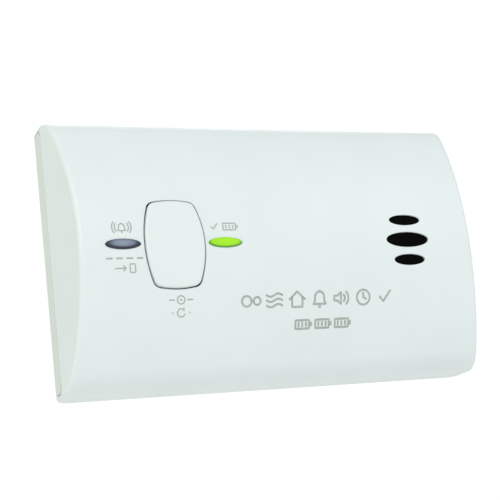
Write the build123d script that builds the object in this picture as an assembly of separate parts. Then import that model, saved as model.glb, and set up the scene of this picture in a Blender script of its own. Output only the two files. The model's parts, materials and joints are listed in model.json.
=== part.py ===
from build123d import *
import math
import os

# Carbon monoxide alarm that hangs on a wall and runs on three AA cells.
# All sizes are in millimetres. X runs to the right, Z up, and the front faces -Y.
# The wall is the plane Y = 0, and the origin is the centre of the alarm's back.
# A "depth" is a distance out from the wall, so a point at depth d lies at Y = -d.
# A "range" is a pair of limits, low first.

# Case
case_width = 114.3
case_height = 69.85
case_depth = 24.0
rim_depth = 11.9  # where the front arch would meet the flat top and bottom
shoulder_radius = 9.5
edge_radius = 1.1
cover_wall = 2.0
seam_depth = 9.0  # the cover's end walls stop here and the rear case shows behind them
end_draft = 14.0
rim_draft = 0.8
seam_gap = 0.35
seam_chamfer = 1.8
rim_lip = 1.1  # what is left of the cover's rim beside the rear case
rear_wall = 2.0
back_bevel = 2.2  # on the upright back edges at both ends
skirt_height = 8.0
tongue_height = 3.0
tongue_wall = 1.4
tongue_inset = 3.2  # from the skirt's inner sides to the tongue's ends

# Front openings, all on one level
feature_z = -1.3
button_x = -29.8
button_half_width = 7.5
button_half_height = 10.9
button_side_bulge = 2.0
button_end_bulge = 0.7
button_corner_radius = 1.9
button_thickness = 2.1
button_rise = 0.7  # how far the button stands out from the cover's face
button_gap = 0.35
button_travel = 0.45
button_tab_width = 1.3
button_tab_heights = (3.0, 7.5)  # the tabs' range above and below the button's middle
button_tab_thickness = 0.6
button_stem_radius = 1.4
button_edge_round = 0.6
button_stem_slack = 0.02  # between the button's stem and the switch
lens_gap = 0.75  # between a window and the button's groove
lens_half_width = 4.45
lens_half_height = 1.35
lens_dome = 0.25
lens_flange = 0.8
lens_flange_thickness = 0.6
lens_fit = 0.03
slot_x = 34.35
slot_pitch = 5.35
slot_half_sizes = ((4.6, 1.5), (6.25, 2.08), (4.55, 1.5))

# Cells and their bay
cell_radius = 7.1
cell_can_length = 49.2
cell_nub_length = 1.3
cell_nub_radius = 2.7
cell_spacing = 1.0  # between neighbouring cells
cell_end_chamfer = 0.4
cell_count = 3
bay_x = -8.0
bay_length = 56.0
bay_wall = 1.2
bay_clearance = 0.3
contact_thickness = 0.4
contact_fit = 0.05  # between a contact's corners and the round of the bay
contact_boss = 0.9
contact_boss_radius = 2.2
contact_spring_width = 5.0
contact_slack = 0.1
terminal_tail_width = 2.4
terminal_tail_stub = 0.4

# Battery door
door_thickness = 1.6
door_gap = 0.3
door_overlap = 1.0  # how far the door laps over the bay's walls on every side
ledge_thickness = 1.5
ledge_width = 2.4
hinge_radius = 1.25
hinge_pin_radius = 0.8
hinge_pin_length = 2.0
hinge_fit = 0.06
knuckle_length = 9.0
knuckle_inset = 4.0
latch_width = 12.0
latch_length = 7.0
latch_slit = 0.8
finger_notch_radius = 6.5
finger_notch_depth = 1.2
label_width = 40.0
label_height = 26.0
label_thickness = 0.15
label_z = -1.5

# Circuit board
board_thickness = 1.2
board_gap = 0.5  # between the front of the bay and the back of the board
board_end_gap = 0.75  # between the board and the cover's end walls
board_arch_gap = 1.7  # between the board and the cover's arch
board_corner_radius = 1.5

# Horn behind the slots
horn_radius = 10.0
horn_wall = 1.4
horn_board_clearance = 0.6
horn_disc_radius = 9.6
horn_disc_thickness = 0.25
horn_crystal_radius = 6.5
horn_crystal_thickness = 0.25
horn_chamber_reach = 1.2  # how far the chamber goes behind the board
horn_fit = 0.03  # between the chamber and the inside of the cover
horn_cap_depth = 4.4
horn_cap_floor = 1.2
screen_thickness = 0.3
screen_fit = 0.04  # around the screen's raised ovals, which fill the slots
screen_recess = 0.45  # from the cover's face down to those ovals
wire_radius = 0.4
wire_bend = 1.2
wire_half_spacing = 3.0

# Screws and wall fixing
case_screw_end_inset = 10.65  # from the case's outer edges to the screws
case_screw_side_inset = 8.425
case_screw_head_radius = 2.7
case_screw_head_height = 1.8
case_screw_shank_radius = 1.4
case_screw_length = 9.0
case_screw_seat = 2.0
case_screw_cross = (3.0, 0.6, 1.0)  # length, width and depth of its cross recess
case_boss_radius = 3.2
case_pad_radius = 4.2
board_screw_inset = 2.6  # from the board's ends
board_screw_levels = (9.5, -11.2)  # right one, then left one
board_screw_head_radius = 1.8
board_screw_head_height = 1.2
board_screw_shank_radius = 0.95
board_screw_length = 3.2
board_screw_slot = (2.4, 0.5, 0.5)  # length, width and depth
board_boss_radius = 2.2
screw_fit = 0.05
screw_recess = 0.7
keyhole_spacing = 90.0
keyhole_z = 9.0
keyhole_entry_radius = 4.2
keyhole_slot_radius = 2.1
keyhole_rise = 8.0

# Parts on the board
led_size = (3.2, 0.8, 2.8)
led_window_radius = 1.1
led_window_depth = 0.15
switch_size = (6.0, 0.9, 6.0)
plunger_radius = 1.6
plunger_height = 0.6
plunger_well = 0.75
plunger_fit = 0.1
plunger_floor = 0.05  # left under the plunger when it is pressed
sensor_radius = 6.1
sensor_height = 9.4
sensor_inset = 6.7  # from the board's left end
sensor_z = 4.2
sensor_rim = 0.6
filter_radius = 3.4
filter_height = 1.2
filter_fit = 0.05
capacitor_radius = 3.15
capacitor_height = 10.5
capacitor_inset = 9.5  # from the board's left end
capacitor_z = -9.6
capacitor_chamfer = 0.5
coil_radius = 2.7
coil_core_radius = 1.5
coil_height = 6.4
coil_flange = 1.1
coil_winding_inset = 0.3
coil_inset = 3.1  # from the board's right end
coil_z = -8.4
chip_size = (10.2, 1.5, 6.2)
chip_place = (2.0, -1.5)
chip_leg_pitch = 1.27
chip_leg_count = 7
chip_leg_width = 0.4
chip_leg_height = 0.8
chip_leg_reach = 0.9
crystal_size = (7.0, 1.3, 2.6)
crystal_x = 15.6
crystal_gap = 0.2  # between the crystal's edge and the inside of the cover
crystal_corner_radius = 1.17
resistor_size = (2.0, 0.5, 1.25)
resistor_places = ((-6.5, 5.5), (-6.5, 8.5), (-2.5, 8.5), (1.5, 8.5), (5.5, 8.5), (12.0, 3.5), (12.0, 6.5))
ceramic_size = (2.0, 1.1, 1.25)
ceramic_places = ((-8.5, -6.5), (-8.5, -9.5), (-4.0, -9.5), (0.0, -9.5), (17.0, 6.5))
clearance = 0.2  # between fixed pieces that sit side by side
touching = 0.01  # distances below this count as none
aligned = 0.9  # cosine above which a direction counts as lying along an axis

# Worked out from the sizes above
end_slope = math.tan(math.radians(end_draft))
rim_slope = math.tan(math.radians(rim_draft))
end_wall = cover_wall / math.cos(math.radians(end_draft))
rim_half = case_height / 2 - rim_depth * rim_slope
arch_rise = case_depth - rim_depth
arch_radius = (rim_half**2 + arch_rise**2) / (2 * arch_rise)
arch_centre = case_depth - arch_radius
rear_half = case_height / 2 - rim_lip - seam_gap
skirt_half = case_height / 2 - cover_wall - seam_gap
ledge_depth = door_thickness + door_gap
case_screw_x = case_width / 2 - case_screw_end_inset
case_screw_z = case_height / 2 - case_screw_side_inset
button_corner_half_width = button_half_width - button_side_bulge
button_corner_half_height = button_half_height - button_end_bulge
lens_offset = button_half_width + button_gap + lens_gap + lens_half_width
alarm_lens_x = button_x - lens_offset
operate_lens_x = button_x + lens_offset
cell_pitch = 2 * cell_radius + cell_spacing
cell_axis_depth = ledge_depth + bay_clearance + cell_radius
bay_radius = cell_radius + bay_clearance
bay_shell_radius = bay_radius + bay_wall
contact_half_width = (bay_radius - contact_fit) / math.sqrt(2)
bay_range = (bay_x - bay_length / 2, bay_x + bay_length / 2)
bay_half_height = cell_pitch * (cell_count - 1) / 2 + bay_radius
bay_front = cell_axis_depth + bay_shell_radius
board_back = bay_front + board_gap
board_front = board_back + board_thickness
board_half_width = case_width / 2 - end_wall - (board_front - seam_depth) * end_slope - board_end_gap
inner_arch_radius = arch_radius - cover_wall
board_half_height = math.sqrt(inner_arch_radius**2 - (board_front - arch_centre)**2) - board_arch_gap
board_screw_x = board_half_width - board_screw_inset
board_screw_places = ((board_screw_x, board_screw_levels[0]), (-board_screw_x, board_screw_levels[1]))
sensor_place = (sensor_inset - board_half_width, sensor_z)
capacitor_place = (capacitor_inset - board_half_width, capacitor_z)
coil_place = (board_half_width - coil_inset, coil_z)
horn_disc_front = board_back - horn_chamber_reach
crystal_top = board_front + crystal_size[1] + crystal_gap
crystal_edge = math.sqrt(inner_arch_radius**2 - (crystal_top - arch_centre)**2)
crystal_place = (crystal_x, crystal_size[2] / 2 - crystal_edge)
cell_length = cell_can_length + cell_nub_length
spring_reach = bay_length - cell_length - 2 * contact_thickness - contact_boss - contact_slack
door_range = (bay_range[0] - bay_wall - door_overlap, bay_range[1] + bay_wall + door_overlap)
door_top = bay_half_height + bay_wall + door_overlap
hinge_z = -(bay_half_height + bay_wall + hinge_radius + door_gap)
plunger_top = board_front + switch_size[1] + plunger_height
far = case_width  # longer than any cut needs


def block(x_range, depth_range, z_range):
    """Box between two limits on each axis."""
    sizes = [high - low for low, high in (x_range, depth_range, z_range)]
    centre = Pos(sum(x_range) / 2, -sum(depth_range) / 2, sum(z_range) / 2)
    return centre * Box(*sizes)


def around(centre, half):
    """Range of the given half size about a centre."""
    return (centre - half, centre + half)


def peg(x, z, radius, depth_range):
    """Round rod that points straight out from the wall."""
    length = depth_range[1] - depth_range[0]
    return Pos(x, -sum(depth_range) / 2, z) * Rot(90, 0, 0) * Cylinder(radius, length)


def bar(x_range, depth, z, radius):
    """Round rod along X."""
    return Pos(sum(x_range) / 2, -depth, z) * Rot(0, 90, 0) * Cylinder(radius, x_range[1] - x_range[0])


def prism(outline, depth_range):
    """Outline drawn in X and Z, given thickness between two depths."""
    return extrude(Plane.XZ.offset(depth_range[0]) * outline, amount=depth_range[1] - depth_range[0])


def oval(x, z, half_width, half_height, depth_range):
    """Elliptical plug that points straight out from the wall."""
    return prism(Pos(x, z) * Ellipse(half_width, half_height), depth_range)


def arch(inset, half_length=case_width / 2, back=0.0):
    """The case's arched section, shrunk by an inset all round and run along X."""
    radius = arch_radius - inset
    start = case_height / 2 - inset / math.cos(math.radians(rim_draft))
    square = 1 + rim_slope**2
    middle = start * rim_slope + arch_centre
    rest = start**2 + arch_centre**2 - radius**2
    corner_depth = (middle + math.sqrt(middle**2 - square * rest)) / square
    corner_z = start - corner_depth * rim_slope
    back_z = start - back * rim_slope
    front = ThreePointArc((-corner_depth, -corner_z), (inset - case_depth, 0), (-corner_depth, corner_z))
    sides = [(-corner_depth, corner_z), (-back, back_z), (-back, -back_z), (-corner_depth, -corner_z)]
    section = make_face([*front.edges(), *Polyline(*sides).edges()])
    section = fillet(section.vertices().sort_by(Axis.X)[:2], shoulder_radius - inset)
    return extrude(Plane.YZ * section, amount=half_length, both=True)


def tapered_ends(inset):
    """Prism whose two ends lean in towards the front from the seam on."""
    half = case_width / 2 - inset
    front_half = half - (case_depth - seam_depth) * end_slope
    right = [(half, 1), (half, -seam_depth), (front_half, -case_depth)]
    left = [(-x, y) for x, y in reversed(right)]
    return extrude(make_face(Polyline(*right, *left, close=True)), amount=far, both=True)


def bevelled_back():
    """Prism whose two upright back edges are cut off."""
    half = case_width / 2
    right = [(half - back_bevel - 1, 1), (half, -back_bevel), (half, -case_depth)]
    left = [(-x, y) for x, y in reversed(right)]
    return extrude(make_face(Polyline(*right, *left, close=True)), amount=far, both=True)


def shell_patch(x_range, z_range, outer_inset, thickness):
    """Piece of curved plate that follows the inside of the arch."""
    plate = arch(outer_inset) - arch(outer_inset + thickness, far)
    return plate & block(x_range, (rim_depth, case_depth), z_range)


def barrel(grow=0.0):
    """The test button's outline: a rectangle with four bulging sides and round corners."""
    half_width = button_half_width + grow
    half_height = button_half_height + grow
    x, z = button_corner_half_width + grow, button_corner_half_height + grow
    right = ThreePointArc((x, -z), (half_width, 0), (x, z))
    top = ThreePointArc((x, z), (0, half_height), (-x, z))
    left = ThreePointArc((-x, z), (-half_width, 0), (-x, -z))
    bottom = ThreePointArc((-x, -z), (0, -half_height), (x, -z))
    outline = make_face([*right.edges(), *top.edges(), *left.edges(), *bottom.edges()])
    outline = fillet(outline.vertices(), button_corner_radius + grow)
    return Pos(button_x, feature_z) * outline


def inner_arch_depth(z):
    """Depth of the inside of the cover's arch at a level."""
    return arch_centre + math.sqrt(inner_arch_radius**2 - z**2)


def cells():
    """Places along Z of the cells, top first."""
    top = cell_pitch * (cell_count - 1) / 2
    return [top - cell_pitch * i for i in range(cell_count)]


def slots():
    """Level, half width and half height of each slot, top first."""
    levels = [feature_z + slot_pitch * (1 - i) for i in range(len(slot_half_sizes))]
    return [(z, *sizes) for z, sizes in zip(levels, slot_half_sizes)]


def case_screw_places():
    """Places in X and Z of the four screws that hold the case together."""
    return [(x, z) for x in (-case_screw_x, case_screw_x) for z in (-case_screw_z, case_screw_z)]


def rear_end_outline(grow):
    """Outline in depth and Z of the rear case's visible ends, with their cut-off corners."""
    high = rear_half + grow
    depth = seam_depth - seam_gap + grow
    cut = seam_chamfer
    lower = [(1, -high), (cut - depth, -high), (-depth, cut - high)]
    upper = [(y, -z) for y, z in reversed(lower)]
    return make_face(Polyline(*lower, *upper, close=True))


def front_cover():
    front = arch(0) & tapered_ends(0) & block((-far, far), (seam_depth, far), (-far, far))
    ends = front.faces().filter_by(lambda f: abs(f.normal_at().X) > aligned)
    rounded = [e for e in ends.edges() if e.center().Y < -seam_depth - touching]
    front = fillet(rounded, edge_radius)
    rim = arch(0) & block((-far, far), (-1, seam_depth), (-far, far))
    corners = rim.edges().filter_by(lambda e: abs(abs(e.center().X) - case_width / 2) < touching)
    rim = fillet(corners.filter_by(lambda e: abs(e.tangent_at(0).Y) > aligned), edge_radius)
    rim &= bevelled_back()
    cavity = arch(cover_wall, back=-1) & tapered_ends(end_wall)
    cover = front + rim - cavity
    cover -= extrude(Plane.YZ * rear_end_outline(seam_gap), amount=far, both=True)
    inside = arch(cover_wall / 2)
    for x, z in case_screw_places():
        boss = peg(x, z, case_boss_radius, (case_screw_seat + rear_wall + clearance, case_depth)) & inside
        cover += boss
        tip = case_screw_seat + case_screw_length + screw_recess
        cover -= peg(x, z, case_screw_shank_radius + screw_fit, (0, tip))
    for x, z in board_screw_places:
        cover += peg(x, z, board_boss_radius, (board_front, case_depth)) & inside
        tip = board_back + board_screw_length + screw_recess / 2
        cover -= peg(x, z, board_screw_shank_radius + screw_fit, (board_front, tip))
    through = (rim_depth, case_depth + 1)
    cover -= prism(barrel(button_gap), through)
    for x in (alarm_lens_x, operate_lens_x):
        cover -= oval(x, feature_z, lens_half_width, lens_half_height, through)
    for z, half_width, half_height in slots():
        cover -= oval(slot_x, z, half_width, half_height, through)
    return cover


def rear_case():
    half = case_width / 2
    plate = block((-half, half), (0, rear_wall), around(0, rear_half))
    ends = extrude(Plane.YZ * rear_end_outline(0), amount=half, both=True)
    ends &= block((-far, far), (0, seam_depth), (-far, far))
    ends -= block(around(0, half - cover_wall), (rear_wall, seam_depth), (-far, far))
    skirt_z = skirt_half - tongue_wall
    tongue_x = half - end_wall - clearance
    skirt = block(around(0, tongue_x), (0, skirt_height), around(0, skirt_half))
    tongue_top = seam_depth + tongue_height
    tongue = block(around(0, tongue_x), (0, tongue_top), around(0, skirt_z - tongue_inset))
    hollow = block(around(0, tongue_x - tongue_wall), (rear_wall, tongue_top), around(0, skirt_z))
    lean = tapered_ends(end_wall + clearance)
    case = ((plate + ends) & bevelled_back()) + ((skirt + tongue - hollow) & lean)
    case += bay_shell() + door_ledge()
    case -= bay_hollow() + door_pocket()
    for x, z in case_screw_places():
        case += peg(x, z, case_pad_radius, (0, case_screw_seat + rear_wall))
        case -= peg(x, z, case_screw_shank_radius + clearance, (0, case_screw_seat + rear_wall))
        case -= peg(x, z, case_screw_head_radius + clearance, (0, case_screw_seat))
    for x in (-keyhole_spacing / 2, keyhole_spacing / 2):
        case -= keyhole(x)
    return case


def bay_shell():
    """Three joined half pipes that hold the cells, closed at both ends."""
    x_range = (bay_range[0] - bay_wall, bay_range[1] + bay_wall)
    shell = block(x_range, (0, cell_axis_depth), around(0, bay_half_height + bay_wall))
    for z in cells():
        shell += bar(x_range, cell_axis_depth, z, bay_shell_radius)
    return shell


def bay_hollow():
    hollow = block(bay_range, (-1, cell_axis_depth), around(0, bay_half_height))
    for z in cells():
        hollow += bar(bay_range, cell_axis_depth, z, bay_radius)
    for x, z in ((bay_range[0], cells()[0]), (bay_range[1], cells()[-1])):
        hollow += terminal_slot(x, z)
    return hollow


def terminal_slot(x, z):
    """Slot through the bay's front wall for a terminal's tail."""
    x_range = (plate_range(x)[0] - clearance, plate_range(x)[1] + clearance)
    z_range = around(tail_z(z), terminal_tail_width / 2 + clearance)
    return block(x_range, (cell_axis_depth, board_back), z_range)


def tail_z(z):
    """A tail stands beside its cell's axis, on the side of the board's middle."""
    return math.copysign(abs(z) - contact_half_width / 2, z)


def door_ledge():
    """Frame inside the back wall that the door rests on."""
    x_range = (door_range[0] - ledge_width, door_range[1] + ledge_width)
    z_range = (hinge_z - hinge_radius - door_gap - ledge_width, door_top + ledge_width)
    return block(x_range, (0, ledge_depth + ledge_thickness), z_range)


def door_pocket():
    """Room in the back wall for the door, its hinge and a finger notch."""
    x_range = (door_range[0] - door_gap, door_range[1] + door_gap)
    pocket = block(x_range, (-1, ledge_depth), (hinge_z, door_top + door_gap))
    pocket += block(x_range, (-1, hinge_radius), around(hinge_z, hinge_radius + door_gap))
    pocket += bar(x_range, hinge_radius, hinge_z, hinge_radius + door_gap)
    pin_range = (x_range[0] - hinge_pin_length, x_range[1] + hinge_pin_length)
    pocket += bar(pin_range, hinge_radius, hinge_z, hinge_pin_radius + hinge_fit)
    notch = peg(bay_x, door_top, finger_notch_radius, (-1, finger_notch_depth))
    return pocket + notch


def keyhole(x):
    """Round entry for a wall screw's head, with a narrower slot above it."""
    through = (-1, rear_wall + 1)
    top = keyhole_z + keyhole_rise
    slot = block(around(x, keyhole_slot_radius), through, (keyhole_z, top))
    slot += peg(x, top, keyhole_slot_radius, through)
    return slot + peg(x, keyhole_z, keyhole_entry_radius, through)


def battery_door():
    plate = block(door_range, (0, door_thickness), (hinge_z, door_top))
    tongue = around(bay_x, latch_width / 2)
    through = (-1, door_thickness + 1)
    for x in tongue:
        plate -= block(around(x, latch_slit / 2), through, (door_top - latch_length, door_top + 1))
    plate -= block(door_range, through, (hinge_z - 1, hinge_z + hinge_radius + door_gap))
    recess = around(bay_x, label_width / 2 + clearance)
    plate -= block(recess, (-1, label_thickness), around(label_z, label_height / 2 + clearance))
    for end, side in ((door_range[0], 1), (door_range[1], -1)):
        start = end + side * knuckle_inset
        knuckle = tuple(sorted((start, start + side * knuckle_length)))
        plate += block(knuckle, (0, door_thickness), (hinge_z, hinge_z + 2 * hinge_radius + door_gap))
        plate += bar(knuckle, hinge_radius, hinge_z, hinge_radius)
        pin = tuple(sorted((end - side * (hinge_pin_length - clearance), start)))
        plate += bar(pin, hinge_radius, hinge_z, hinge_pin_radius)
    return plate


def rating_label():
    """Blank sticker in a shallow recess on the outside of the battery door."""
    return block(around(bay_x, label_width / 2), (0, label_thickness), around(label_z, label_height / 2))


def cell(index):
    """AA cell; the middle one points the other way."""
    side = 1 if index % 2 == 0 else -1
    z = cells()[index]
    flat_end = bay_x - side * (bay_length / 2 - contact_thickness - spring_reach)
    shoulder = flat_end + side * cell_can_length
    tip = shoulder + side * cell_nub_length
    can = bar(tuple(sorted((flat_end, shoulder))), cell_axis_depth, z, cell_radius)
    can = chamfer(can.edges().filter_by(GeomType.CIRCLE), cell_end_chamfer)
    return can + bar(tuple(sorted((shoulder, tip))), cell_axis_depth, z, cell_nub_radius)


def contact_plate(x_end, z):
    """Square metal plate against one end wall of the bay."""
    half = contact_half_width
    return block(plate_range(x_end), around(cell_axis_depth, half), around(z, half))


def plate_range(x_end):
    inward = math.copysign(contact_thickness, bay_x - x_end)
    return tuple(sorted((x_end, x_end + inward)))


def contact_boss_at(x_end, z):
    """Raised pad that meets a cell's nub."""
    inward = math.copysign(1, bay_x - x_end)
    x_range = tuple(sorted((x_end, x_end + inward * (contact_thickness + contact_boss))))
    return bar(x_range, cell_axis_depth, z, contact_boss_radius)


def contact_spring_at(x_end, z):
    """Bowed leaf that presses on a cell's flat end."""
    inward = math.copysign(1, bay_x - x_end)
    base = x_end + inward * contact_thickness / 2
    crest = x_end + inward * (contact_thickness + spring_reach)
    inner_crest = crest - inward * contact_thickness
    inner_half = contact_half_width - contact_thickness
    low, high = cell_axis_depth - contact_half_width, cell_axis_depth + contact_half_width
    outer = ThreePointArc((base, -low), (crest, -cell_axis_depth), (base, -high))
    end = Line((base, -high), (base, -cell_axis_depth - inner_half))
    inner = ThreePointArc(end @ 1, (inner_crest, -cell_axis_depth), (base, inner_half - cell_axis_depth))
    start = Line(inner @ 1, (base, -low))
    bow = make_face([*outer.edges(), *end.edges(), *inner.edges(), *start.edges()])
    return Pos(0, 0, z) * extrude(bow, amount=contact_spring_width / 2, both=True)


def terminal_tail(x_end, z):
    """Strip from a terminal plate up through the board."""
    depth_range = (cell_axis_depth, board_front + terminal_tail_stub)
    return block(plate_range(x_end), depth_range, around(tail_z(z), terminal_tail_width / 2))


def contact_link(x_end, boss_z, spring_z):
    """Plate that joins one cell's nub to the next cell's flat end."""
    z_range = tuple(sorted((boss_z, spring_z)))
    bridge = block(plate_range(x_end), (cell_axis_depth - contact_half_width, cell_axis_depth), z_range)
    link = bridge + contact_plate(x_end, boss_z) + contact_plate(x_end, spring_z)
    return link + contact_boss_at(x_end, boss_z) + contact_spring_at(x_end, spring_z)


def negative_terminal():
    z = cells()[0]
    x_end = bay_range[0]
    plate = contact_plate(x_end, z)
    return plate + contact_spring_at(x_end, z) + terminal_tail(x_end, z)


def positive_terminal():
    z = cells()[-1]
    x_end = bay_range[1]
    plate = contact_plate(x_end, z)
    return plate + contact_boss_at(x_end, z) + terminal_tail(x_end, z)


def circuit_board():
    outline = RectangleRounded(2 * board_half_width, 2 * board_half_height, board_corner_radius)
    board = prism(outline, (board_back, board_front))
    through = (board_back - 1, board_front + 1)
    board -= peg(slot_x, feature_z, horn_radius + horn_board_clearance, through)
    for x, z in board_screw_places:
        board -= peg(x, z, board_screw_shank_radius + clearance, through)
    for x_end, z in ((bay_range[0], cells()[0]), (bay_range[1], cells()[-1])):
        middle = x_end + math.copysign(contact_thickness / 2, bay_x - x_end)
        tail_room = contact_thickness / 2 + clearance
        z_range = around(tail_z(z), terminal_tail_width / 2 + clearance)
        board -= block(around(middle, tail_room), through, z_range)
    return board


def on_front(size, place):
    """Small box that sits on the front of the board."""
    width, height, length = size
    x, z = place
    return block(around(x, width / 2), (board_front, board_front + height), around(z, length / 2))


def led(x):
    body = on_front(led_size, (x, feature_z))
    top = board_front + led_size[1]
    return body - peg(x, feature_z, led_window_radius, (top - led_window_depth, top + 1))


def indicator_lens(x):
    """Window plug with a flange that stops it against the inside of the cover."""
    depth_range = (board_front + led_size[1] + clearance, case_depth + lens_dome + 1)
    plug = oval(x, feature_z, lens_half_width - lens_fit, lens_half_height - lens_fit, depth_range)
    plug &= arch(-lens_dome)
    rim = [e for e in plug.edges() if e.center().Y < lens_dome - case_depth]
    plug = fillet(rim, lens_dome)
    z_range = around(feature_z, lens_half_height + lens_flange)
    flange = shell_patch(around(x, lens_half_width), z_range, cover_wall + lens_fit, lens_flange_thickness)
    return plug + flange


def test_button():
    plate = prism(barrel(), (rim_depth, case_depth + button_rise + 1)) & arch(-button_rise)
    plate -= arch(button_thickness - button_rise, far)
    front = touching - button_rise
    rim = [e for e in plate.edges() if all(below_arch(v) < front for v in e.vertices())]
    plate = fillet(rim, button_edge_round)
    root = button_thickness / 2 - button_rise
    stem_range = (plunger_top + button_stem_slack, case_depth - root)
    button = plate + peg(button_x, feature_z, button_stem_radius, stem_range)
    under_cover = cover_wall + button_gap / 2
    near, far_end = button_tab_heights
    for z_range in ((feature_z + near, feature_z + far_end), (feature_z - far_end, feature_z - near)):
        half = button_half_width + button_gap + button_tab_width
        button += shell_patch(around(button_x, half), z_range, under_cover, button_tab_thickness)
        neck = under_cover + button_tab_thickness - root
        button += shell_patch(around(button_x, button_corner_half_width), z_range, root, neck)
    return button


def below_arch(vertex):
    """How far a vertex lies below the outer arch."""
    return arch_radius - math.hypot(vertex.Z, -vertex.Y - arch_centre)


def switch_body():
    body = on_front(switch_size, (button_x, feature_z))
    top = board_front + switch_size[1]
    well = peg(button_x, feature_z, plunger_radius + plunger_fit, (top - plunger_well, top + 1))
    return body - well


def switch_plunger():
    bottom = plunger_top - plunger_height - plunger_well + button_travel + plunger_floor
    return peg(button_x, feature_z, plunger_radius, (bottom, plunger_top))


def horn_chamber():
    """Ring that joins the disc to the slots."""
    depth_range = (horn_disc_front, case_depth)
    ring = peg(slot_x, feature_z, horn_radius, depth_range)
    ring -= peg(slot_x, feature_z, horn_radius - horn_wall, depth_range)
    return ring & arch(cover_wall + horn_fit)


def horn_disc():
    depth_range = (horn_disc_front - horn_disc_thickness, horn_disc_front)
    return peg(slot_x, feature_z, horn_disc_radius, depth_range)


def horn_crystal():
    front = horn_disc_front - horn_disc_thickness
    return peg(slot_x, feature_z, horn_crystal_radius, (front - horn_crystal_thickness, front))


def horn_cap():
    """Cup that holds the disc against the chamber."""
    front = horn_disc_front - horn_disc_thickness
    back = front - horn_cap_depth
    cup = peg(slot_x, feature_z, horn_radius, (back, front))
    cup -= peg(slot_x, feature_z, horn_radius - horn_wall, (back + horn_cap_floor, front))
    for z in horn_wire_levels():
        cup -= peg(slot_x, z, wire_radius + clearance, (back, front))
    return cup


def horn_wire_levels():
    return [feature_z - wire_half_spacing, feature_z + wire_half_spacing]


def horn_wires():
    """Two insulated wires from the disc, out through the cap and up to the board."""
    cap_back = horn_disc_front - horn_disc_thickness - horn_cap_depth
    run_depth = cap_back - wire_radius - clearance
    disc_side = horn_disc_front - horn_disc_thickness - horn_crystal_thickness
    board_x = slot_x + horn_radius + horn_board_clearance + 2 * wire_radius + clearance
    wires = []
    for z in horn_wire_levels():
        points = [(slot_x, -disc_side, z), (slot_x, -run_depth, z), (board_x, -run_depth, z)]
        path = FilletPolyline(*points, (board_x, -board_back, z), radius=wire_bend)
        section = Plane(origin=path @ 0, z_dir=path % 0) * Circle(wire_radius)
        wires.append(sweep(section, path=path))
    return Compound(children=[wire.solid() for wire in wires])


def vent_screen():
    """Fine dust screen behind the slots, raised where it shows through them."""
    radius = horn_radius - horn_wall
    front = inner_arch_depth(abs(feature_z) + radius) - clearance
    screen = peg(slot_x, feature_z, radius, (front - screen_thickness, front))
    for z, half_width, half_height in slots():
        sizes = (half_width - screen_fit, half_height - screen_fit)
        screen += oval(slot_x, z, *sizes, (front, case_depth)) & arch(screen_recess)
    return screen


def co_sensor():
    """Metal can of the gas cell, hung on the back of the board."""
    x, z = sensor_place
    bottom = board_back - sensor_height
    can = peg(x, z, sensor_radius, (bottom, board_back))
    can = fillet(can.edges().filter_by(GeomType.CIRCLE).sort_by(Axis.Y)[-1], sensor_rim)
    return can - peg(x, z, filter_radius + filter_fit, (bottom, bottom + sensor_rim))


def sensor_filter():
    """Filter plug in the mouth of the gas cell."""
    x, z = sensor_place
    bottom = board_back - sensor_height + sensor_rim
    return peg(x, z, filter_radius, (bottom - filter_height, bottom))


def smoothing_capacitor():
    x, z = capacitor_place
    can = peg(x, z, capacitor_radius, (board_back - capacitor_height, board_back))
    return chamfer(can.edges().filter_by(GeomType.CIRCLE).sort_by(Axis.Y)[-1], capacitor_chamfer)


def horn_coil():
    """Bobbin-shaped coil that steps the horn's voltage up."""
    x, z = coil_place
    back = board_back - coil_height
    coil = peg(x, z, coil_radius, (back, back + coil_flange))
    coil += peg(x, z, coil_radius, (board_back - coil_flange, board_back))
    return coil + peg(x, z, coil_core_radius, (back, board_back))


def coil_winding():
    x, z = coil_place
    depth_range = (board_back - coil_height + coil_flange, board_back - coil_flange)
    winding = peg(x, z, coil_radius - coil_winding_inset, depth_range)
    return winding - peg(x, z, coil_core_radius, depth_range)


def controller_chip():
    chip = on_front(chip_size, chip_place)
    x, z = chip_place
    for i in range(chip_leg_count):
        leg_x = x + chip_leg_pitch * (i - (chip_leg_count - 1) / 2)
        x_range = around(leg_x, chip_leg_width / 2)
        z_range = around(z, chip_size[2] / 2 + chip_leg_reach)
        chip += block(x_range, (board_front, board_front + chip_leg_height), z_range)
    return chip


def timing_crystal():
    can = on_front(crystal_size, crystal_place)
    return fillet(can.edges().filter_by(Axis.Y), crystal_corner_radius)


def small_parts(size, places):
    return Compound(children=[on_front(size, place) for place in places])


def case_screws():
    """Four screws that pull the rear case onto the cover's bosses."""
    screws = []
    seat = case_screw_seat
    length, width, deep = case_screw_cross
    for x, z in case_screw_places():
        head = peg(x, z, case_screw_head_radius, (seat - case_screw_head_height, seat))
        cross_range = (0, seat - case_screw_head_height + deep)
        cross = block(around(x, length / 2), cross_range, around(z, width / 2))
        cross += block(around(x, width / 2), cross_range, around(z, length / 2))
        shank = peg(x, z, case_screw_shank_radius, (seat, seat + case_screw_length))
        screws.append((head - cross + shank).solid())
    return Compound(children=screws)


def board_screws():
    screws = []
    head_back = board_back - board_screw_head_height
    length, width, deep = board_screw_slot
    for x, z in board_screw_places:
        head = peg(x, z, board_screw_head_radius, (head_back, board_back))
        shank = peg(x, z, board_screw_shank_radius, (board_back, board_back + board_screw_length))
        slot = block(around(x, length / 2), (0, head_back + deep), around(z, width / 2))
        screws.append((head - slot + shank).solid())
    return Compound(children=screws)


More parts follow.
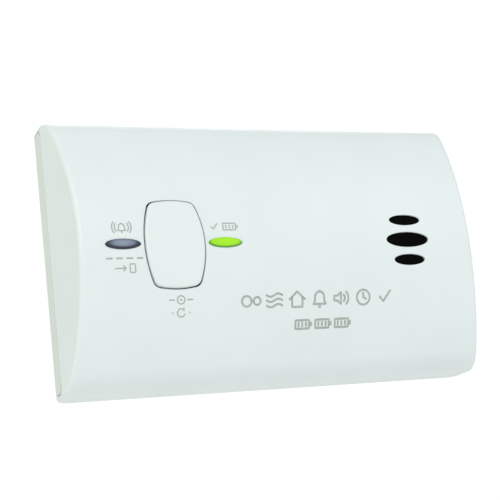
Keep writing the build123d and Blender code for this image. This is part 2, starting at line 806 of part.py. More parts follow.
def parts():
    top, middle, bottom = cells()
    return {
        "front_cover": front_cover(),
        "rear_case": rear_case(),
        "battery_door": battery_door(),
        "rating_label": rating_label(),
        "cell_top": cell(0),
        "cell_middle": cell(1),
        "cell_bottom": cell(2),
        "negative_terminal": negative_terminal(),
        "positive_terminal": positive_terminal(),
        "right_contact_link": contact_link(bay_range[1], top, middle),
        "left_contact_link": contact_link(bay_range[0], middle, bottom),
        "circuit_board": circuit_board(),
        "alarm_led": led(alarm_lens_x),
        "operate_led": led(operate_lens_x),
        "alarm_lens": indicator_lens(alarm_lens_x),
        "operate_lens": indicator_lens(operate_lens_x),
        "test_button": test_button(),
        "switch_body": switch_body(),
        "switch_plunger": switch_plunger(),
        "horn_chamber": horn_chamber(),
        "horn_disc": horn_disc(),
        "horn_crystal": horn_crystal(),
        "horn_cap": horn_cap(),
        "horn_wires": horn_wires(),
        "vent_screen": vent_screen(),
        "co_sensor": co_sensor(),
        "sensor_filter": sensor_filter(),
        "smoothing_capacitor": smoothing_capacitor(),
        "horn_coil": horn_coil(),
        "coil_winding": coil_winding(),
        "controller_chip": controller_chip(),
        "timing_crystal": timing_crystal(),
        "chip_resistors": small_parts(resistor_size, resistor_places),
        "ceramic_capacitors": small_parts(ceramic_size, ceramic_places),
        "case_screws": case_screws(),
        "board_screws": board_screws(),
    }


os.makedirs("parts", exist_ok=True)
for name, shape in parts().items():
    export_step(shape, f"parts/{name}.step")
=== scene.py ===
import json
import math

import bmesh
import bpy
from mathutils import Matrix, Vector
from mathutils.bvhtree import BVHTree


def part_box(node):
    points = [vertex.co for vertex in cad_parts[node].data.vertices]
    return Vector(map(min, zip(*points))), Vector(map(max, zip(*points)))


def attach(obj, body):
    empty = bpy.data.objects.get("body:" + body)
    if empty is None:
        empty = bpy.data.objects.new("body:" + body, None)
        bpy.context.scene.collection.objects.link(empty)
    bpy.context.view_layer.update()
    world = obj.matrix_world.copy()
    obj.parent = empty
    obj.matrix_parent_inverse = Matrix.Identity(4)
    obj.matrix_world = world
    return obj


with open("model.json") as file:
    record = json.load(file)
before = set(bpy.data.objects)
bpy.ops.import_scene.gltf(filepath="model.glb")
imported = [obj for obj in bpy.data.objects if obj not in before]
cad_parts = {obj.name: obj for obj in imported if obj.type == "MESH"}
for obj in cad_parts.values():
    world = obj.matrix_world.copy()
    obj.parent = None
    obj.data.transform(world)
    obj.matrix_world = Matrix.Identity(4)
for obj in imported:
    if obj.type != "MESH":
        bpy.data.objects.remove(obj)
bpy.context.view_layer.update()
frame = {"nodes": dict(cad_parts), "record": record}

# Looks of a wall-hung carbon monoxide alarm: materials, printed marks, light and camera.
# Lengths are in metres, and those whose names end in _mm or _MM are in millimetres.

MM = 0.001

# Colours, linear RGB
COVER_LIGHT = (0.76, 0.825, 0.835)
COVER_DARK = (0.735, 0.80, 0.81)
CASE_LIGHT = (0.755, 0.82, 0.785)
CASE_DARK = (0.725, 0.79, 0.755)
BUTTON_LIGHT = (0.77, 0.835, 0.84)
BUTTON_DARK = (0.745, 0.81, 0.815)
INK = (0.34, 0.38, 0.345)
INK_WORN = (0.44, 0.48, 0.44)
PAPER_DARK = (0.72, 0.73, 0.71)
PAPER_LIGHT = (0.80, 0.80, 0.78)
PALE_FLOOR = (0.93, 0.93, 0.925)

NOISE_LOW, NOISE_HIGH = 0.3, 0.7  # most of a noise's values lie between these

# Moulded plastic: how large its patterns are and how deep its relief
CLOUD_SIZE = 24 * MM
GLOSS_SIZE = 8 * MM
FLOW_SIZE = 11 * MM
FLOW_DEPTH = 0.04 * MM
GRAIN_SIZE = 0.32 * MM
GRAIN_DEPTH = 0.012 * MM

# Printed marks
INK_LIFT_MM = 0.03  # how far the ink stands off the plastic
INK_ROOT_MM = 0.02  # how far its underside is sunk into the plastic
STROKE_STEP_MM = 0.5
CAP_ANGLES = (75, 55, 35, 15)
SMALL_STROKE_MM = 0.3
LARGE_STROKE_MM = 0.52
LEGEND_RISE_MM = 4.05  # from a window's middle up to its legend
MAIN_DROP_MM = 14.6  # from the button's middle down to the main legend
MAIN_START_MM = 5.85  # from the green window's middle to the first sign
SIGN_PITCH_MM = 6.2
SIGN_SIZE_MM = 4.2
CELLS_DROP_MM = 6.0  # from the row of signs down to the cells
CELLS_RIGHT_MM = 0.9  # from the middle of the row to the middle cell
CELL_PITCH_MM = 5.5
CELL_SIZE_MM = 3.3
POLARITY_STROKE_MM = 0.4
POLARITY_SIZE_MM = 21.0
POLARITY_SPREAD = 0.75  # spacing of the printed cells, as a share of the real cells'
DOT_HALF_LENGTH = 0.001  # a dot is a stroke this short, in its mark's own frame
ARC_STEP = 15.0  # degrees

# Windows
WINDOW_HALF_HEIGHT = 1.35 * MM  # without their hidden flanges
WINDOW_HIGHLIGHT_RISE = 0.2  # how far above the middle their painted highlight sits, in half heights
WINDOW_ROUGHNESS = 0.12

# Camera
VIEW_YAW = 22.557
VIEW_PITCH = 12.983
VIEW_ROLL = -7.126
VIEW_TARGET_MM = (-1.777, 0.0, -6.531)
VIEW_DISTANCE_MM = 314.58
LENS_MM = 84.37
SENSOR_MM = 36.0
VIEW_SHIFT = 0.0714

# Studio
FLOOR_Z = -0.13
FLOOR_HALF = 6.0
FLOOR_GLOW = 0.08  # evens the floor out to the pale surroundings
WORLD_TINT = (0.97, 1.0, 0.99)
WORLD_LIGHT = 0.57  # strength of the surroundings as a light
WORLD_SEEN = 1.05  # and as the camera sees them
LIGHTS = (  # name, place, size, watts and colour; all of them face the alarm
    ("key", (-0.4, -1.0, 0.6), 0.6, 4.8, (1, 1, 1)),
    ("fill", (1.0, -0.9, 0.6), 0.8, 2.6, (1, 1, 1)),
    ("side", (-1.5, -0.15, 0.6), 0.8, 2.8, (1.0, 1.0, 0.5)),
    ("back", (0.3, 0.8, 0.7), 0.6, 2.0, (1, 1, 1)),
)


# Materials

def new_material(name, roughness, metallic=0.0):
    """Material with a Principled shader; returns its tree and shader too."""
    material = bpy.data.materials.new(name)
    material.use_nodes = True
    tree = material.node_tree
    shader = next(n for n in tree.nodes if n.type == "BSDF_PRINCIPLED")
    shader.inputs["Roughness"].default_value = roughness
    shader.inputs["Metallic"].default_value = metallic
    return material, tree, shader


def object_point(tree, scale=(1, 1, 1), offset=(0, 0, 0)):
    """The surface point in the alarm's own frame, scaled and then shifted."""
    place = tree.nodes.new("ShaderNodeTexCoord")
    mapping = tree.nodes.new("ShaderNodeMapping")
    mapping.inputs["Scale"].default_value = scale
    mapping.inputs["Location"].default_value = offset
    tree.links.new(place.outputs["Object"], mapping.inputs["Vector"])
    return mapping.outputs["Vector"]


def noise(tree, size, detail=3.0, stretch=(1, 1, 1)):
    """Cloudy pattern whose blots are about the given size."""
    texture = tree.nodes.new("ShaderNodeTexNoise")
    texture.inputs["Scale"].default_value = 1 / size
    texture.inputs["Detail"].default_value = detail
    tree.links.new(object_point(tree, stretch), texture.inputs["Vector"])
    return texture.outputs["Fac"]


def pimples(tree, size):
    """Fine rounded grain, as spark-eroded moulds leave on plastic."""
    texture = tree.nodes.new("ShaderNodeTexVoronoi")
    texture.feature = "SMOOTH_F1"
    texture.inputs["Scale"].default_value = 1 / size
    texture.inputs["Smoothness"].default_value = 0.6
    tree.links.new(object_point(tree), texture.inputs["Vector"])
    return texture.outputs["Distance"]


def ramp(tree, value, stops):
    """Colours at stated values, blended between them."""
    node = tree.nodes.new("ShaderNodeValToRGB")
    elements = node.color_ramp.elements
    while len(elements) < len(stops):
        elements.new(0.5)
    for element, (position, color) in zip(elements, stops):
        element.position = position
        element.color = (*color, 1.0)
    tree.links.new(value, node.inputs["Fac"])
    return node.outputs["Color"]


def span(tree, value, low, high):
    """A noise's usual range stretched onto low..high."""
    node = tree.nodes.new("ShaderNodeMapRange")
    node.inputs["From Min"].default_value = NOISE_LOW
    node.inputs["From Max"].default_value = NOISE_HIGH
    node.inputs["To Min"].default_value = low
    node.inputs["To Max"].default_value = high
    tree.links.new(value, node.inputs["Value"])
    return node.outputs["Result"]


def bump(tree, shader, height, distance, strength, before=None):
    """Relief on the shader's normal, laid over an earlier one where given."""
    node = tree.nodes.new("ShaderNodeBump")
    node.inputs["Distance"].default_value = distance
    node.inputs["Strength"].default_value = strength
    tree.links.new(height, node.inputs["Height"])
    if before is not None:
        tree.links.new(before, node.inputs["Normal"])
    tree.links.new(node.outputs["Normal"], shader.inputs["Normal"])
    return node.outputs["Normal"]


def math_node(tree, operation, *values):
    """One arithmetic step; each value is a number or another node's output."""
    node = tree.nodes.new("ShaderNodeMath")
    node.operation = operation
    for socket, value in zip(node.inputs, values):
        if isinstance(value, (int, float)):
            socket.default_value = value
        else:
            tree.links.new(value, socket)
    return node.outputs["Value"]


def moulded_plastic(name, dark, light, roughness=0.42):
    """Satin moulded plastic: fine grain, faint clouding and slightly uneven gloss."""
    material, tree, shader = new_material(name, roughness)
    clouds = noise(tree, CLOUD_SIZE, 4.0)
    tree.links.new(ramp(tree, clouds, ((0.3, dark), (0.7, light))), shader.inputs["Base Color"])
    gloss = span(tree, noise(tree, GLOSS_SIZE, 5.0), roughness - 0.05, roughness + 0.07)
    tree.links.new(gloss, shader.inputs["Roughness"])
    flow = bump(tree, shader, noise(tree, FLOW_SIZE, 2.0), FLOW_DEPTH, 0.25)
    bump(tree, shader, pimples(tree, GRAIN_SIZE), GRAIN_DEPTH, 0.55, flow)
    shader.inputs["Subsurface Weight"].default_value = 0.06
    shader.inputs["Subsurface Radius"].default_value = (1.2 * MM, 1.2 * MM, 1.0 * MM)
    return material


def plain_plastic(name, dark, light, roughness, grain=0.4 * MM):
    """Smoother plastic for small parts."""
    material, tree, shader = new_material(name, roughness)
    clouds = noise(tree, 3 * MM, 3.0)
    tree.links.new(ramp(tree, clouds, ((0.3, dark), (0.7, light))), shader.inputs["Base Color"])
    tree.links.new(span(tree, clouds, roughness - 0.06, roughness + 0.08), shader.inputs["Roughness"])
    bump(tree, shader, noise(tree, grain, 2.0), 0.01 * MM, 0.4)
    return material


def metal(name, dark, light, roughness, stretch=(1, 1, 1)):
    """Metal with a drawn or brushed grain along its stretched direction."""
    material, tree, shader = new_material(name, roughness, metallic=1.0)
    streaks = noise(tree, 0.6 * MM, 4.0, stretch)
    stain = noise(tree, 6 * MM, 3.0)
    tree.links.new(ramp(tree, stain, ((0.25, dark), (0.75, light))), shader.inputs["Base Color"])
    tree.links.new(span(tree, streaks, roughness - 0.08, roughness + 0.12), shader.inputs["Roughness"])
    bump(tree, shader, streaks, 0.008 * MM, 0.5)
    return material


def highlight_distance(tree, node):
    """0 at the painted highlight just above the middle of an oval window, 1 at its rim."""
    low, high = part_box(node)
    middle, half = (low + high) / 2, (high - low) / 2
    half_height = WINDOW_HALF_HEIGHT
    highlight_z = middle.z + WINDOW_HIGHLIGHT_RISE * half_height
    scale = (1 / half.x, 0, 1 / half_height)
    offset = (-middle.x / half.x, 0, -highlight_z / half_height)
    length = tree.nodes.new("ShaderNodeVectorMath")
    length.operation = "LENGTH"
    tree.links.new(object_point(tree, scale, offset), length.inputs[0])
    return length.outputs["Value"]


def window_plastic(name, node, stops):
    """Clear moulded window, tinted from a painted highlight just above its middle to darker at its rim.
    """
    material, tree, shader = new_material(name, WINDOW_ROUGHNESS)
    tint_and_highlight = ramp(tree, highlight_distance(tree, node), stops)
    tree.links.new(tint_and_highlight, shader.inputs["Base Color"])
    scuffs = noise(tree, 1.2 * MM, 6.0, (3, 1, 0.5))
    gloss = span(tree, scuffs, WINDOW_ROUGHNESS - 0.04, WINDOW_ROUGHNESS + 0.1)
    tree.links.new(gloss, shader.inputs["Roughness"])
    bump(tree, shader, scuffs, 0.006 * MM, 0.35)
    shader.inputs["Coat Weight"].default_value = 0.6
    shader.inputs["Coat Roughness"].default_value = 0.05
    return material, tree, shader, tint_and_highlight


def lit_window(name, node, stops, strength):
    material, tree, shader, tint_and_highlight = window_plastic(name, node, stops)
    # The glow takes the same colours, painted highlight included.
    tree.links.new(tint_and_highlight, shader.inputs["Emission Color"])
    shader.inputs["Emission Strength"].default_value = strength
    return material


def printed_ink():
    """Screen-printed ink, a little thin in places."""
    material, tree, shader = new_material("legend_ink", 0.55)
    wear = noise(tree, 0.9 * MM, 5.0)
    tree.links.new(ramp(tree, wear, ((0.35, INK), (0.75, INK_WORN))), shader.inputs["Base Color"])
    tree.links.new(span(tree, wear, 0.45, 0.65), shader.inputs["Roughness"])
    bump(tree, shader, noise(tree, 0.2 * MM, 2.0), 0.006 * MM, 0.4)
    return material


def cell_wrap(node, nub_at_high_x):
    """Printed cell sleeve: dark body, a copper band at the nub's end and bare steel ends."""
    material, tree, shader = new_material(f"{node}_wrap", 0.28)
    low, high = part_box(node)
    length = high.x - low.x
    flip = 1 / length if nub_at_high_x else -1 / length
    start = low.x if nub_at_high_x else high.x
    split = tree.nodes.new("ShaderNodeSeparateXYZ")
    tree.links.new(object_point(tree, (flip, 1, 1), (-start * flip, 0, 0)), split.inputs["Vector"])
    body, copper, steel = (0.03, 0.032, 0.036), (0.62, 0.30, 0.13), (0.62, 0.61, 0.59)
    stops = ((0.0, steel), (0.012, body), (0.70, body), (0.72, copper), (0.955, copper), (0.965, steel))
    bands = ramp(tree, split.outputs["X"], stops)
    tree.links.new(bands, shader.inputs["Base Color"])
    scuffs = noise(tree, 4 * MM, 5.0, (0.3, 1, 1))
    tree.links.new(span(tree, scuffs, 0.2, 0.42), shader.inputs["Roughness"])
    bump(tree, shader, scuffs, 0.02 * MM, 0.3)
    shader.inputs["Coat Weight"].default_value = 0.5
    shader.inputs["Metallic"].default_value = 0.25
    return material


def screen_with_painted_shade():
    """Fine black cloth that keeps dust out of the horn, coloured darker than cloth as painted shade of
    the deep slots it sits behind.
    """
    material, tree, shader = new_material("screen_mesh", 0.9)
    # Near black with almost no reflection: painted shade of the deep slots over the black cloth.
    shader.inputs["Specular IOR Level"].default_value = 0.02
    waves = []
    for direction in ("X", "Z"):
        wave = tree.nodes.new("ShaderNodeTexWave")
        wave.bands_direction = direction
        wave.inputs["Scale"].default_value = 700
        tree.links.new(object_point(tree), wave.inputs["Vector"])
        waves.append(wave.outputs["Fac"])
    both = math_node(tree, "MAXIMUM", *waves)
    threads_and_slot_shade = ((0.3, (0.0006, 0.0008, 0.0007)), (0.9, (0.004, 0.0045, 0.004)))
    tree.links.new(ramp(tree, both, threads_and_slot_shade), shader.inputs["Base Color"])
    bump(tree, shader, both, 0.05 * MM, 0.8)
    return material


def circuit_laminate():
    """Green solder resist with slightly lighter copper runs under it."""
    material, tree, shader = new_material("board_laminate", 0.3)
    runs = tree.nodes.new("ShaderNodeTexBrick")
    runs.inputs["Scale"].default_value = 90
    runs.inputs["Mortar Size"].default_value = 0.03
    runs.inputs["Color1"].default_value = (0.012, 0.11, 0.045, 1)
    runs.inputs["Color2"].default_value = (0.012, 0.10, 0.04, 1)
    runs.inputs["Mortar"].default_value = (0.03, 0.21, 0.08, 1)
    swap = tree.nodes.new("ShaderNodeCombineXYZ")
    split = tree.nodes.new("ShaderNodeSeparateXYZ")
    tree.links.new(object_point(tree), split.inputs["Vector"])
    tree.links.new(split.outputs["X"], swap.inputs["X"])
    tree.links.new(split.outputs["Z"], swap.inputs["Y"])
    tree.links.new(swap.outputs["Vector"], runs.inputs["Vector"])
    tree.links.new(runs.outputs["Color"], shader.inputs["Base Color"])
    bump(tree, shader, runs.outputs["Fac"], 0.03 * MM, 0.5)
    return material


def edge_distance(tree, node):
    """Distance from the nearest edge of a flat node, as a share of its half height."""
    low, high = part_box(node)
    middle, half = (low + high) / 2, (high - low) / 2
    split = tree.nodes.new("ShaderNodeSeparateXYZ")
    scale = 1 / half.z
    tree.links.new(object_point(tree, (scale,) * 3, -middle * scale), split.inputs["Vector"])
    gaps = []
    for axis, reach in (("X", half.x / half.z), ("Z", 1.0)):
        size = math_node(tree, "ABSOLUTE", split.outputs[axis])
        gaps.append(math_node(tree, "SUBTRACT", reach, size))
    return math_node(tree, "MINIMUM", *gaps)


def label_paper():
    """Blank matt sticker with a faint fibre and one thin printed frame."""
    material, tree, shader = new_material("label_paper", 0.6)
    fibre = noise(tree, 1.2 * MM, 6.0, (1, 1, 4))
    paper = ramp(tree, fibre, ((0.3, PAPER_DARK), (0.7, PAPER_LIGHT)))
    mix = tree.nodes.new("ShaderNodeMix")
    mix.data_type = "RGBA"
    black, white = (0, 0, 0), (1, 1, 1)
    band = ((0.0, black), (0.055, white), (0.075, black))
    inset = ramp(tree, edge_distance(tree, "rating_label"), band)
    tree.links.new(inset, mix.inputs["Factor"])
    tree.links.new(paper, mix.inputs["A"])
    mix.inputs["B"].default_value = (*INK, 1)
    tree.links.new(mix.outputs["Result"], shader.inputs["Base Color"])
    tree.links.new(span(tree, fibre, 0.5, 0.7), shader.inputs["Roughness"])
    bump(tree, shader, fibre, 0.01 * MM, 0.5)
    return material


def pale_floor():
    material, tree, shader = new_material("studio_floor", 0.7)
    clouds = noise(tree, 0.4, 3.0)
    dark = tuple(c - 0.02 for c in PALE_FLOOR)
    tree.links.new(ramp(tree, clouds, ((0.3, dark), (0.7, PALE_FLOOR))), shader.inputs["Base Color"])
    shader.inputs["Emission Color"].default_value = (1, 1, 1, 1)
    shader.inputs["Emission Strength"].default_value = FLOOR_GLOW
    return material


# Tints of the windows, from the painted highlight just above the middle (0) to the rim (1)
SMOKED_WITH_HIGHLIGHT = (
    (0.0, (0.27, 0.33, 0.42)),
    (0.55, (0.18, 0.225, 0.31)),
    (0.82, (0.03, 0.038, 0.07)),
    (1.0, (0.006, 0.007, 0.014)),
)
GREEN_WITH_HIGHLIGHT = (
    (0.0, (0.27, 0.58, 0.004)),
    (0.78, (0.23, 0.53, 0.003)),
    (0.93, (0.13, 0.36, 0.003)),
    (1.0, (0.05, 0.18, 0.003)),
)
GREEN_STRENGTH = 0.5
BLACK = ((0.018, 0.018, 0.02), (0.03, 0.03, 0.033))

# Dark and light colour, roughness, and how the grain is stretched
METALS = {
    "contact_steel": ((0.55, 0.54, 0.50), (0.72, 0.70, 0.66), 0.3, (1, 1, 6)),
    "screw_steel": ((0.52, 0.52, 0.50), (0.70, 0.70, 0.68), 0.34),
    "sensor_can": ((0.55, 0.55, 0.53), (0.70, 0.70, 0.68), 0.28, (1, 6, 1)),
    "crystal_can": ((0.58, 0.58, 0.56), (0.74, 0.74, 0.72), 0.26, (6, 1, 1)),
    "horn_brass": ((0.58, 0.40, 0.15), (0.74, 0.55, 0.24), 0.32, (6, 1, 1)),
    "coil_copper": ((0.42, 0.15, 0.06), (0.66, 0.27, 0.11), 0.35, (1, 9, 1)),
}

# Dark and light colour, roughness, and the size of the grain where it isn't the usual one
SMALL_PLASTICS = {
    "led_body": ((0.68, 0.66, 0.58), (0.78, 0.76, 0.70), 0.35),
    "led_body_lit": ((0.45, 0.78, 0.2), (0.6, 0.9, 0.3), 0.35),
    "switch_plastic": (*BLACK, 0.5),
    "plunger_plastic": ((0.5, 0.06, 0.03), (0.62, 0.09, 0.04), 0.4),
    "horn_plastic": (*BLACK, 0.55),
    "horn_ceramic": ((0.55, 0.55, 0.52), (0.68, 0.68, 0.66), 0.3),
    "wire_insulation": ((0.42, 0.015, 0.012), (0.55, 0.03, 0.02), 0.35),
    "filter_plug": ((0.7, 0.7, 0.66), (0.82, 0.82, 0.78), 0.9, 0.15 * MM),
    "capacitor_sleeve": ((0.012, 0.02, 0.055), (0.02, 0.032, 0.08), 0.3),
    "coil_ferrite": ((0.03, 0.03, 0.03), (0.055, 0.055, 0.055), 0.6, 0.15 * MM),
    "chip_epoxy": (*BLACK, 0.6, 0.1 * MM),
    "resistor_body": ((0.02, 0.02, 0.025), (0.04, 0.04, 0.045), 0.4),
    "ceramic_body": ((0.42, 0.30, 0.18), (0.52, 0.39, 0.25), 0.45),
}


def make_materials():
    """One material for each material slot of the record."""
    materials = {
        "cover_plastic": moulded_plastic("cover_plastic", COVER_DARK, COVER_LIGHT),
        "case_plastic": moulded_plastic("case_plastic", CASE_DARK, CASE_LIGHT, 0.46),
        "door_plastic": moulded_plastic("door_plastic", CASE_DARK, CASE_LIGHT, 0.46),
        "button_plastic": moulded_plastic("button_plastic", BUTTON_DARK, BUTTON_LIGHT, 0.38),
        "smoked_lens": window_plastic("smoked_lens", "alarm_lens", SMOKED_WITH_HIGHLIGHT)[0],
        "green_lens": lit_window("green_lens", "operate_lens", GREEN_WITH_HIGHLIGHT, GREEN_STRENGTH),
        "label_paper": label_paper(),
        "cell_wrap": cell_wrap("cell_top", True),
        "screen_mesh": screen_with_painted_shade(),
        "board_laminate": circuit_laminate(),
        "legend_ink": printed_ink(),
    }
    materials.update({name: metal(name, *look) for name, look in METALS.items()})
    materials.update({name: plain_plastic(name, *look) for name, look in SMALL_PLASTICS.items()})
    return materials


def dress_cad_nodes(materials):
    for part in frame["record"]["subparts"]:
        node = frame["nodes"][part["node"]]
        material = materials[part["material_slot"]]
        if not node.material_slots:
            node.data.materials.append(material)
        for slot in node.material_slots:
            slot.material = material
    frame["nodes"]["cell_middle"].material_slots[0].material = cell_wrap("cell_middle", False)


# Printed marks: strokes in millimetres, drawn in X and Z and laid on a surface

def arc(x, z, radius, start=0.0, end=360.0):
    """Points along part of a circle, angles in degrees from +X towards +Z."""
    count = max(2, round(abs(end - start) / ARC_STEP))
    angles = [math.radians(start + (end - start) * i / count) for i in range(count + 1)]
    return [(x + radius * math.cos(a), z + radius * math.sin(a)) for a in angles]


def ring(x, z, radius):
    return (arc(x, z, radius)[:-1], 1.0, True)


def dot(x, z, size):
    """Round spot; size is its width in stroke widths."""
    return ([(x - DOT_HALF_LENGTH, z), (x + DOT_HALF_LENGTH, z)], size, False)


def line(*points, weight=1.0):
    return (list(points), weight, False)


def outline(*points):
    return (list(points), 1.0, True)


# Each mark is a list of strokes in a frame about one unit high
def bell_mark():
    left = [(-0.42, -0.3), (-0.32, -0.14)]
    crown = arc(0, 0.12, 0.3, 180, 0)
    right = [(0.32, -0.14), (0.42, -0.3)]
    return [outline(*left, *crown, *right), dot(0, -0.46, 1.5), dot(0, 0.47, 1.0)]


def ringing_bell_mark():
    waves = [line(*arc(0, 0.05, r, a, b)) for r in (0.72, 1.0) for a, b in ((-35, 35), (145, 215))]
    return bell_mark() + waves


def molecule_mark():
    return [ring(-0.3, 0.0, 0.3), ring(0.36, 0.0, 0.22), line((0.0, 0.0), (0.13, 0.0))]


def waves_mark():
    rows = []
    for z in (-0.3, 0.0, 0.3):
        points = [(x / 12, z + 0.09 * math.sin(x / 12 * 2 * math.pi)) for x in range(-6, 7)]
        rows.append(line(*points))
    return rows


def house_mark():
    walls = line((-0.34, 0.12), (-0.34, -0.42), (0.34, -0.42), (0.34, 0.12))
    return [line((-0.5, 0.02), (0.0, 0.46), (0.5, 0.02)), walls]


def clock_mark():
    return [ring(0, 0, 0.44), line((0.0, 0.26), (0.0, 0.0), (0.18, -0.1))]


def speaker_mark():
    upper = [(-0.5, 0.14), (-0.28, 0.14), (-0.04, 0.36)]
    lower = [(x, -z) for x, z in reversed(upper)]
    waves = [line(*arc(-0.04, 0, radius, -45, 45)) for radius in (0.26, 0.5)]
    return [outline(*upper, *lower)] + waves


def tick_mark():
    return [line((-0.34, 0.0), (-0.1, -0.28), (0.38, 0.34))]


def battery_mark():
    case = outline((-0.62, 0.3), (0.52, 0.3), (0.52, -0.3), (-0.62, -0.3))
    bars = [line((x, 0.12), (x, -0.12)) for x in (-0.36, -0.05, 0.26)]
    return [case, line((0.68, 0.1), (0.68, -0.1))] + bars


def exit_mark():
    arrow = [line((-1.5, 0.0), (-0.2, 0.0)), line((-0.5, 0.3), (-0.18, 0.0), (-0.5, -0.3))]
    return arrow + [outline((0.3, 0.5), (0.95, 0.5), (0.95, -0.5), (0.3, -0.5))]


def press_mark():
    dashes = [line((-1.3, 0.0), (-0.75, 0.0)), line((0.75, 0.0), (1.3, 0.0))]
    return [ring(0, 0, 0.42), dot(0, 0, 1.7)] + dashes


def repeat_mark():
    turn = [line(*arc(0, 0, 0.42, 60, 340)), line((0.36, 0.42), (0.2, 0.38), (0.3, 0.2))]
    return turn + [dot(-0.95, 0, 1.2), dot(0.95, 0, 1.2)]


def dashes_mark():
    return [line((x - 0.45, 0), (x + 0.45, 0), weight=1.4) for x in (-2.7, -0.9, 0.9, 2.7)]


class Surface:
    """The outside of a CAD node, met from the front."""

    def __init__(self, name):
        mesh = frame["nodes"][name].data
        vertices = [v.co.copy() for v in mesh.vertices]
        self.tree = BVHTree.FromPolygons(vertices, [list(p.vertices) for p in mesh.polygons])

    def point(self, x, z, lift):
        """Point over (x, z), lifted off the surface; all in metres."""
        hit = self.tree.ray_cast(Vector((x, -1, z)), Vector((0, 1, 0)))[0]
        if hit is None:
            raise ValueError(f"no surface at x {x}, z {z}")
        return Vector((x, hit.y - lift, z))


def resample(points, closed):
    """Points no further apart than the stroke step."""
    ends = list(zip(points, points[1:] + points[:1])) if closed else list(zip(points, points[1:]))
    out = []
    for start, end in ends:
        count = max(1, math.ceil((end - start).length / STROKE_STEP_MM))
        out += [start.lerp(end, i / count) for i in range(count)]
    return out if closed else out + [points[-1]]


def stations(points, width, closed):
    """Middle, direction and half width at each place along a stroke with round ends."""
    points = resample([Vector(p) for p in points], closed)
    last = len(points) - 1
    radius = width / 2
    rows = []
    for i, point in enumerate(points):
        before = points[i - 1] if closed or i > 0 else point
        after = points[(i + 1) % len(points)] if closed or i < last else point
        rows.append((point, (after - before).normalized(), radius))
    if closed:
        return rows
    (first, start, _), (final, end, _) = rows[0], rows[-1]
    caps = [(radius * math.sin(math.radians(a)), radius * math.cos(math.radians(a))) for a in CAP_ANGLES]
    head = [(first - start * along, start, half) for along, half in caps]
    tail = [(final + end * along, end, half) for along, half in reversed(caps)]
    return head + rows + tail


def lay_stroke(bm, points, width, closed, surface):
    """Thin closed strip of ink that follows the surface."""
    rows = []
    for middle, direction, half in stations(points, width, closed):
        side = Vector((-direction.y, direction.x)) * half
        corners = []
        for place, lift in ((middle + side, INK_LIFT_MM), (middle - side, INK_LIFT_MM),
                            (middle - side, -INK_ROOT_MM), (middle + side, -INK_ROOT_MM)):
            corners.append(bm.verts.new(surface.point(place.x * MM, place.y * MM, lift * MM)))
        rows.append(corners)
    pairs = list(zip(rows, rows[1:]))
    if closed:
        pairs.append((rows[-1], rows[0]))
    for a, b in pairs:
        for i in range(4):
            j = (i + 1) % 4
            bm.faces.new((a[i], a[j], b[j], b[i]))
    if not closed:
        bm.faces.new(reversed(rows[0]))
        bm.faces.new(rows[-1])


def print_marks(name, marks, weight_mm, surface, body, material):
    """One printed piece made of marks, each (strokes, x, z, size), in millimetres."""
    bm = bmesh.new()
    for strokes, x, z, size in marks:
        for points, thick, closed in strokes:
            placed = [(x + px * size, z + pz * size) for px, pz in points]
            lay_stroke(bm, placed, weight_mm * thick, closed, surface)
    bmesh.ops.recalc_face_normals(bm, faces=bm.faces)
    mesh = bpy.data.meshes.new(name)
    bm.to_mesh(mesh)
    bm.free()
    piece = bpy.data.objects.new(name, mesh)
    bpy.context.scene.collection.objects.link(piece)
    mesh.materials.append(material)
    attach(piece, body)


def middle_mm(node):
    low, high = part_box(node)
    return (low + high) / 2 / MM


# Small legends: mark, the part it belongs to, how far right and up of it, and its size
LEGENDS = {
    "alarm_mark": ((ringing_bell_mark, "alarm_lens", 0.0, LEGEND_RISE_MM, 2.4),),
    "power_mark": (
        (tick_mark, "operate_lens", -2.6, LEGEND_RISE_MM, 2.3),
        (battery_mark, "operate_lens", 1.6, LEGEND_RISE_MM, 2.9),
    ),
    "hint_marks": (
        (dashes_mark, "alarm_lens", 0.1, -3.5, 1.4),
        (exit_mark, "alarm_lens", 0.7, -5.9, 2.0),
    ),
    "test_marks": (
        (press_mark, "test_button", 0.6, -13.7, 2.3),
        (repeat_mark, "test_button", 0.6, -16.7, 2.3),
    ),
}
SIGNS = (molecule_mark, waves_mark, house_mark, bell_mark, speaker_mark, clock_mark, tick_mark)


def print_front(material):
    """The legends on the cover, each placed from the part that it belongs to."""
    cover = Surface("front_cover")
    for name, rows in LEGENDS.items():
        marks = []
        for mark, node, right, up, size in rows:
            middle = middle_mm(node)
            marks.append((mark(), middle.x + right, middle.z + up, size))
        print_marks(name, marks, SMALL_STROKE_MM, cover, "case", material)
    print_marks("main_marks", main_legend(), LARGE_STROKE_MM, cover, "case", material)


def main_legend():
    """Row of signs between the green window and the slots, with three cells under it."""
    row_x = middle_mm("operate_lens").x + MAIN_START_MM
    row_z = middle_mm("test_button").z - MAIN_DROP_MM
    row = [(sign(), row_x + SIGN_PITCH_MM * i, row_z, SIGN_SIZE_MM) for i, sign in enumerate(SIGNS)]
    middle_x = row_x + SIGN_PITCH_MM * (len(SIGNS) - 1) / 2 + CELLS_RIGHT_MM
    for i in (-1, 0, 1):
        row.append((battery_mark(), middle_x + CELL_PITCH_MM * i, row_z - CELLS_DROP_MM, CELL_SIZE_MM))
    return row


def polarity_mark(towards):
    """A cell's outline with a plus at its nub's end and a minus at the other."""
    nub = [(towards * x, z) for x, z in ((0.88, 0.09), (0.94, 0.09), (0.94, -0.09), (0.88, -0.09))]
    body = outline((-0.88, 0.22), (0.88, 0.22), (0.88, -0.22), (-0.88, -0.22))
    plus_x, minus_x = towards * 0.66, towards * -0.66
    plus = [line((plus_x - 0.09, 0), (plus_x + 0.09, 0)), line((plus_x, 0.09), (plus_x, -0.09))]
    return [body, line(*nub), *plus, line((minus_x - 0.09, 0), (minus_x + 0.09, 0))]


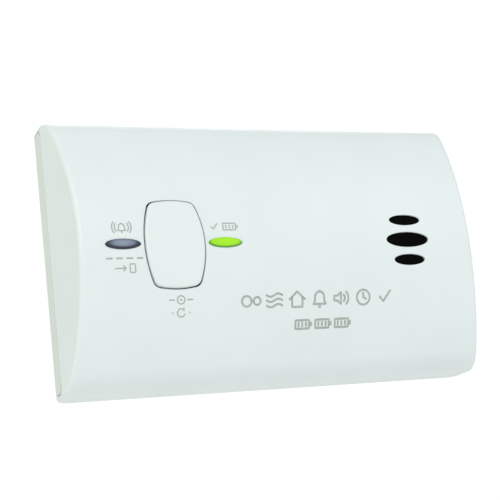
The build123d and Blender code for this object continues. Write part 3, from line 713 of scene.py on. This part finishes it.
def print_door(material):
    """How the cells lie, printed on the inside of the door."""
    inside = Surface("battery_door")
    marks = []
    for node, towards in (("cell_top", 1), ("cell_middle", -1), ("cell_bottom", 1)):
        cell = middle_mm(node)
        marks.append((polarity_mark(towards), cell.x, cell.z * POLARITY_SPREAD, POLARITY_SIZE_MM))
    print_marks("polarity_marks", marks, POLARITY_STROKE_MM, inside, "door", material)


# Studio

def make_floor():
    bm = bmesh.new()
    bmesh.ops.create_grid(bm, x_segments=8, y_segments=8, size=FLOOR_HALF)
    mesh = bpy.data.meshes.new("studio_floor")
    bm.to_mesh(mesh)
    bm.free()
    floor = bpy.data.objects.new("studio_floor", mesh)
    floor.location.z = FLOOR_Z
    bpy.context.scene.collection.objects.link(floor)
    mesh.materials.append(pale_floor())


def make_world():
    """White surroundings that light softly and are seen as pure white."""
    world = bpy.data.worlds.new("studio")
    bpy.context.scene.world = world
    world.use_nodes = True
    tree = world.node_tree
    background = next(n for n in tree.nodes if n.type == "BACKGROUND")
    background.inputs["Color"].default_value = (*WORLD_TINT, 1)
    path = tree.nodes.new("ShaderNodeLightPath")
    strength = tree.nodes.new("ShaderNodeMapRange")
    strength.inputs["To Min"].default_value = WORLD_LIGHT
    strength.inputs["To Max"].default_value = WORLD_SEEN
    tree.links.new(path.outputs["Is Camera Ray"], strength.inputs["Value"])
    tree.links.new(strength.outputs["Result"], background.inputs["Strength"])


def make_light(name, place, size, power, color):
    """Square soft light that faces the alarm."""
    data = bpy.data.lights.new(name, "AREA")
    data.size = size
    data.energy = power
    data.color = color
    light = bpy.data.objects.new(name, data)
    light.location = place
    light.rotation_euler = (-Vector(place)).to_track_quat("-Z", "Y").to_euler()
    bpy.context.scene.collection.objects.link(light)


def make_camera():
    yaw, pitch, roll = (math.radians(a) for a in (VIEW_YAW, VIEW_PITCH, VIEW_ROLL))
    forward = Vector((math.sin(yaw) * math.cos(pitch), math.cos(yaw) * math.cos(pitch), math.sin(pitch)))
    right = Vector((math.cos(yaw), -math.sin(yaw), 0))
    up = right.cross(forward)
    turned_right = math.cos(roll) * right + math.sin(roll) * up
    turned_up = -math.sin(roll) * right + math.cos(roll) * up
    place = (Vector(VIEW_TARGET_MM) - forward * VIEW_DISTANCE_MM) * MM
    data = bpy.data.cameras.new("camera")
    data.sensor_width = SENSOR_MM
    data.lens = LENS_MM
    data.shift_y = VIEW_SHIFT
    data.clip_start = 0.01
    camera = bpy.data.objects.new("camera", data)
    axes = Matrix((turned_right, turned_up, -forward)).transposed()
    camera.matrix_world = Matrix.Translation(place) @ axes.to_4x4()
    bpy.context.scene.collection.objects.link(camera)
    bpy.context.scene.camera = camera


make_camera()
materials = make_materials()
dress_cad_nodes(materials)
print_front(materials["legend_ink"])
print_door(materials["legend_ink"])
make_floor()
make_world()
for light in LIGHTS:
    make_light(*light)
bpy.context.scene.view_settings.view_transform = "Standard"
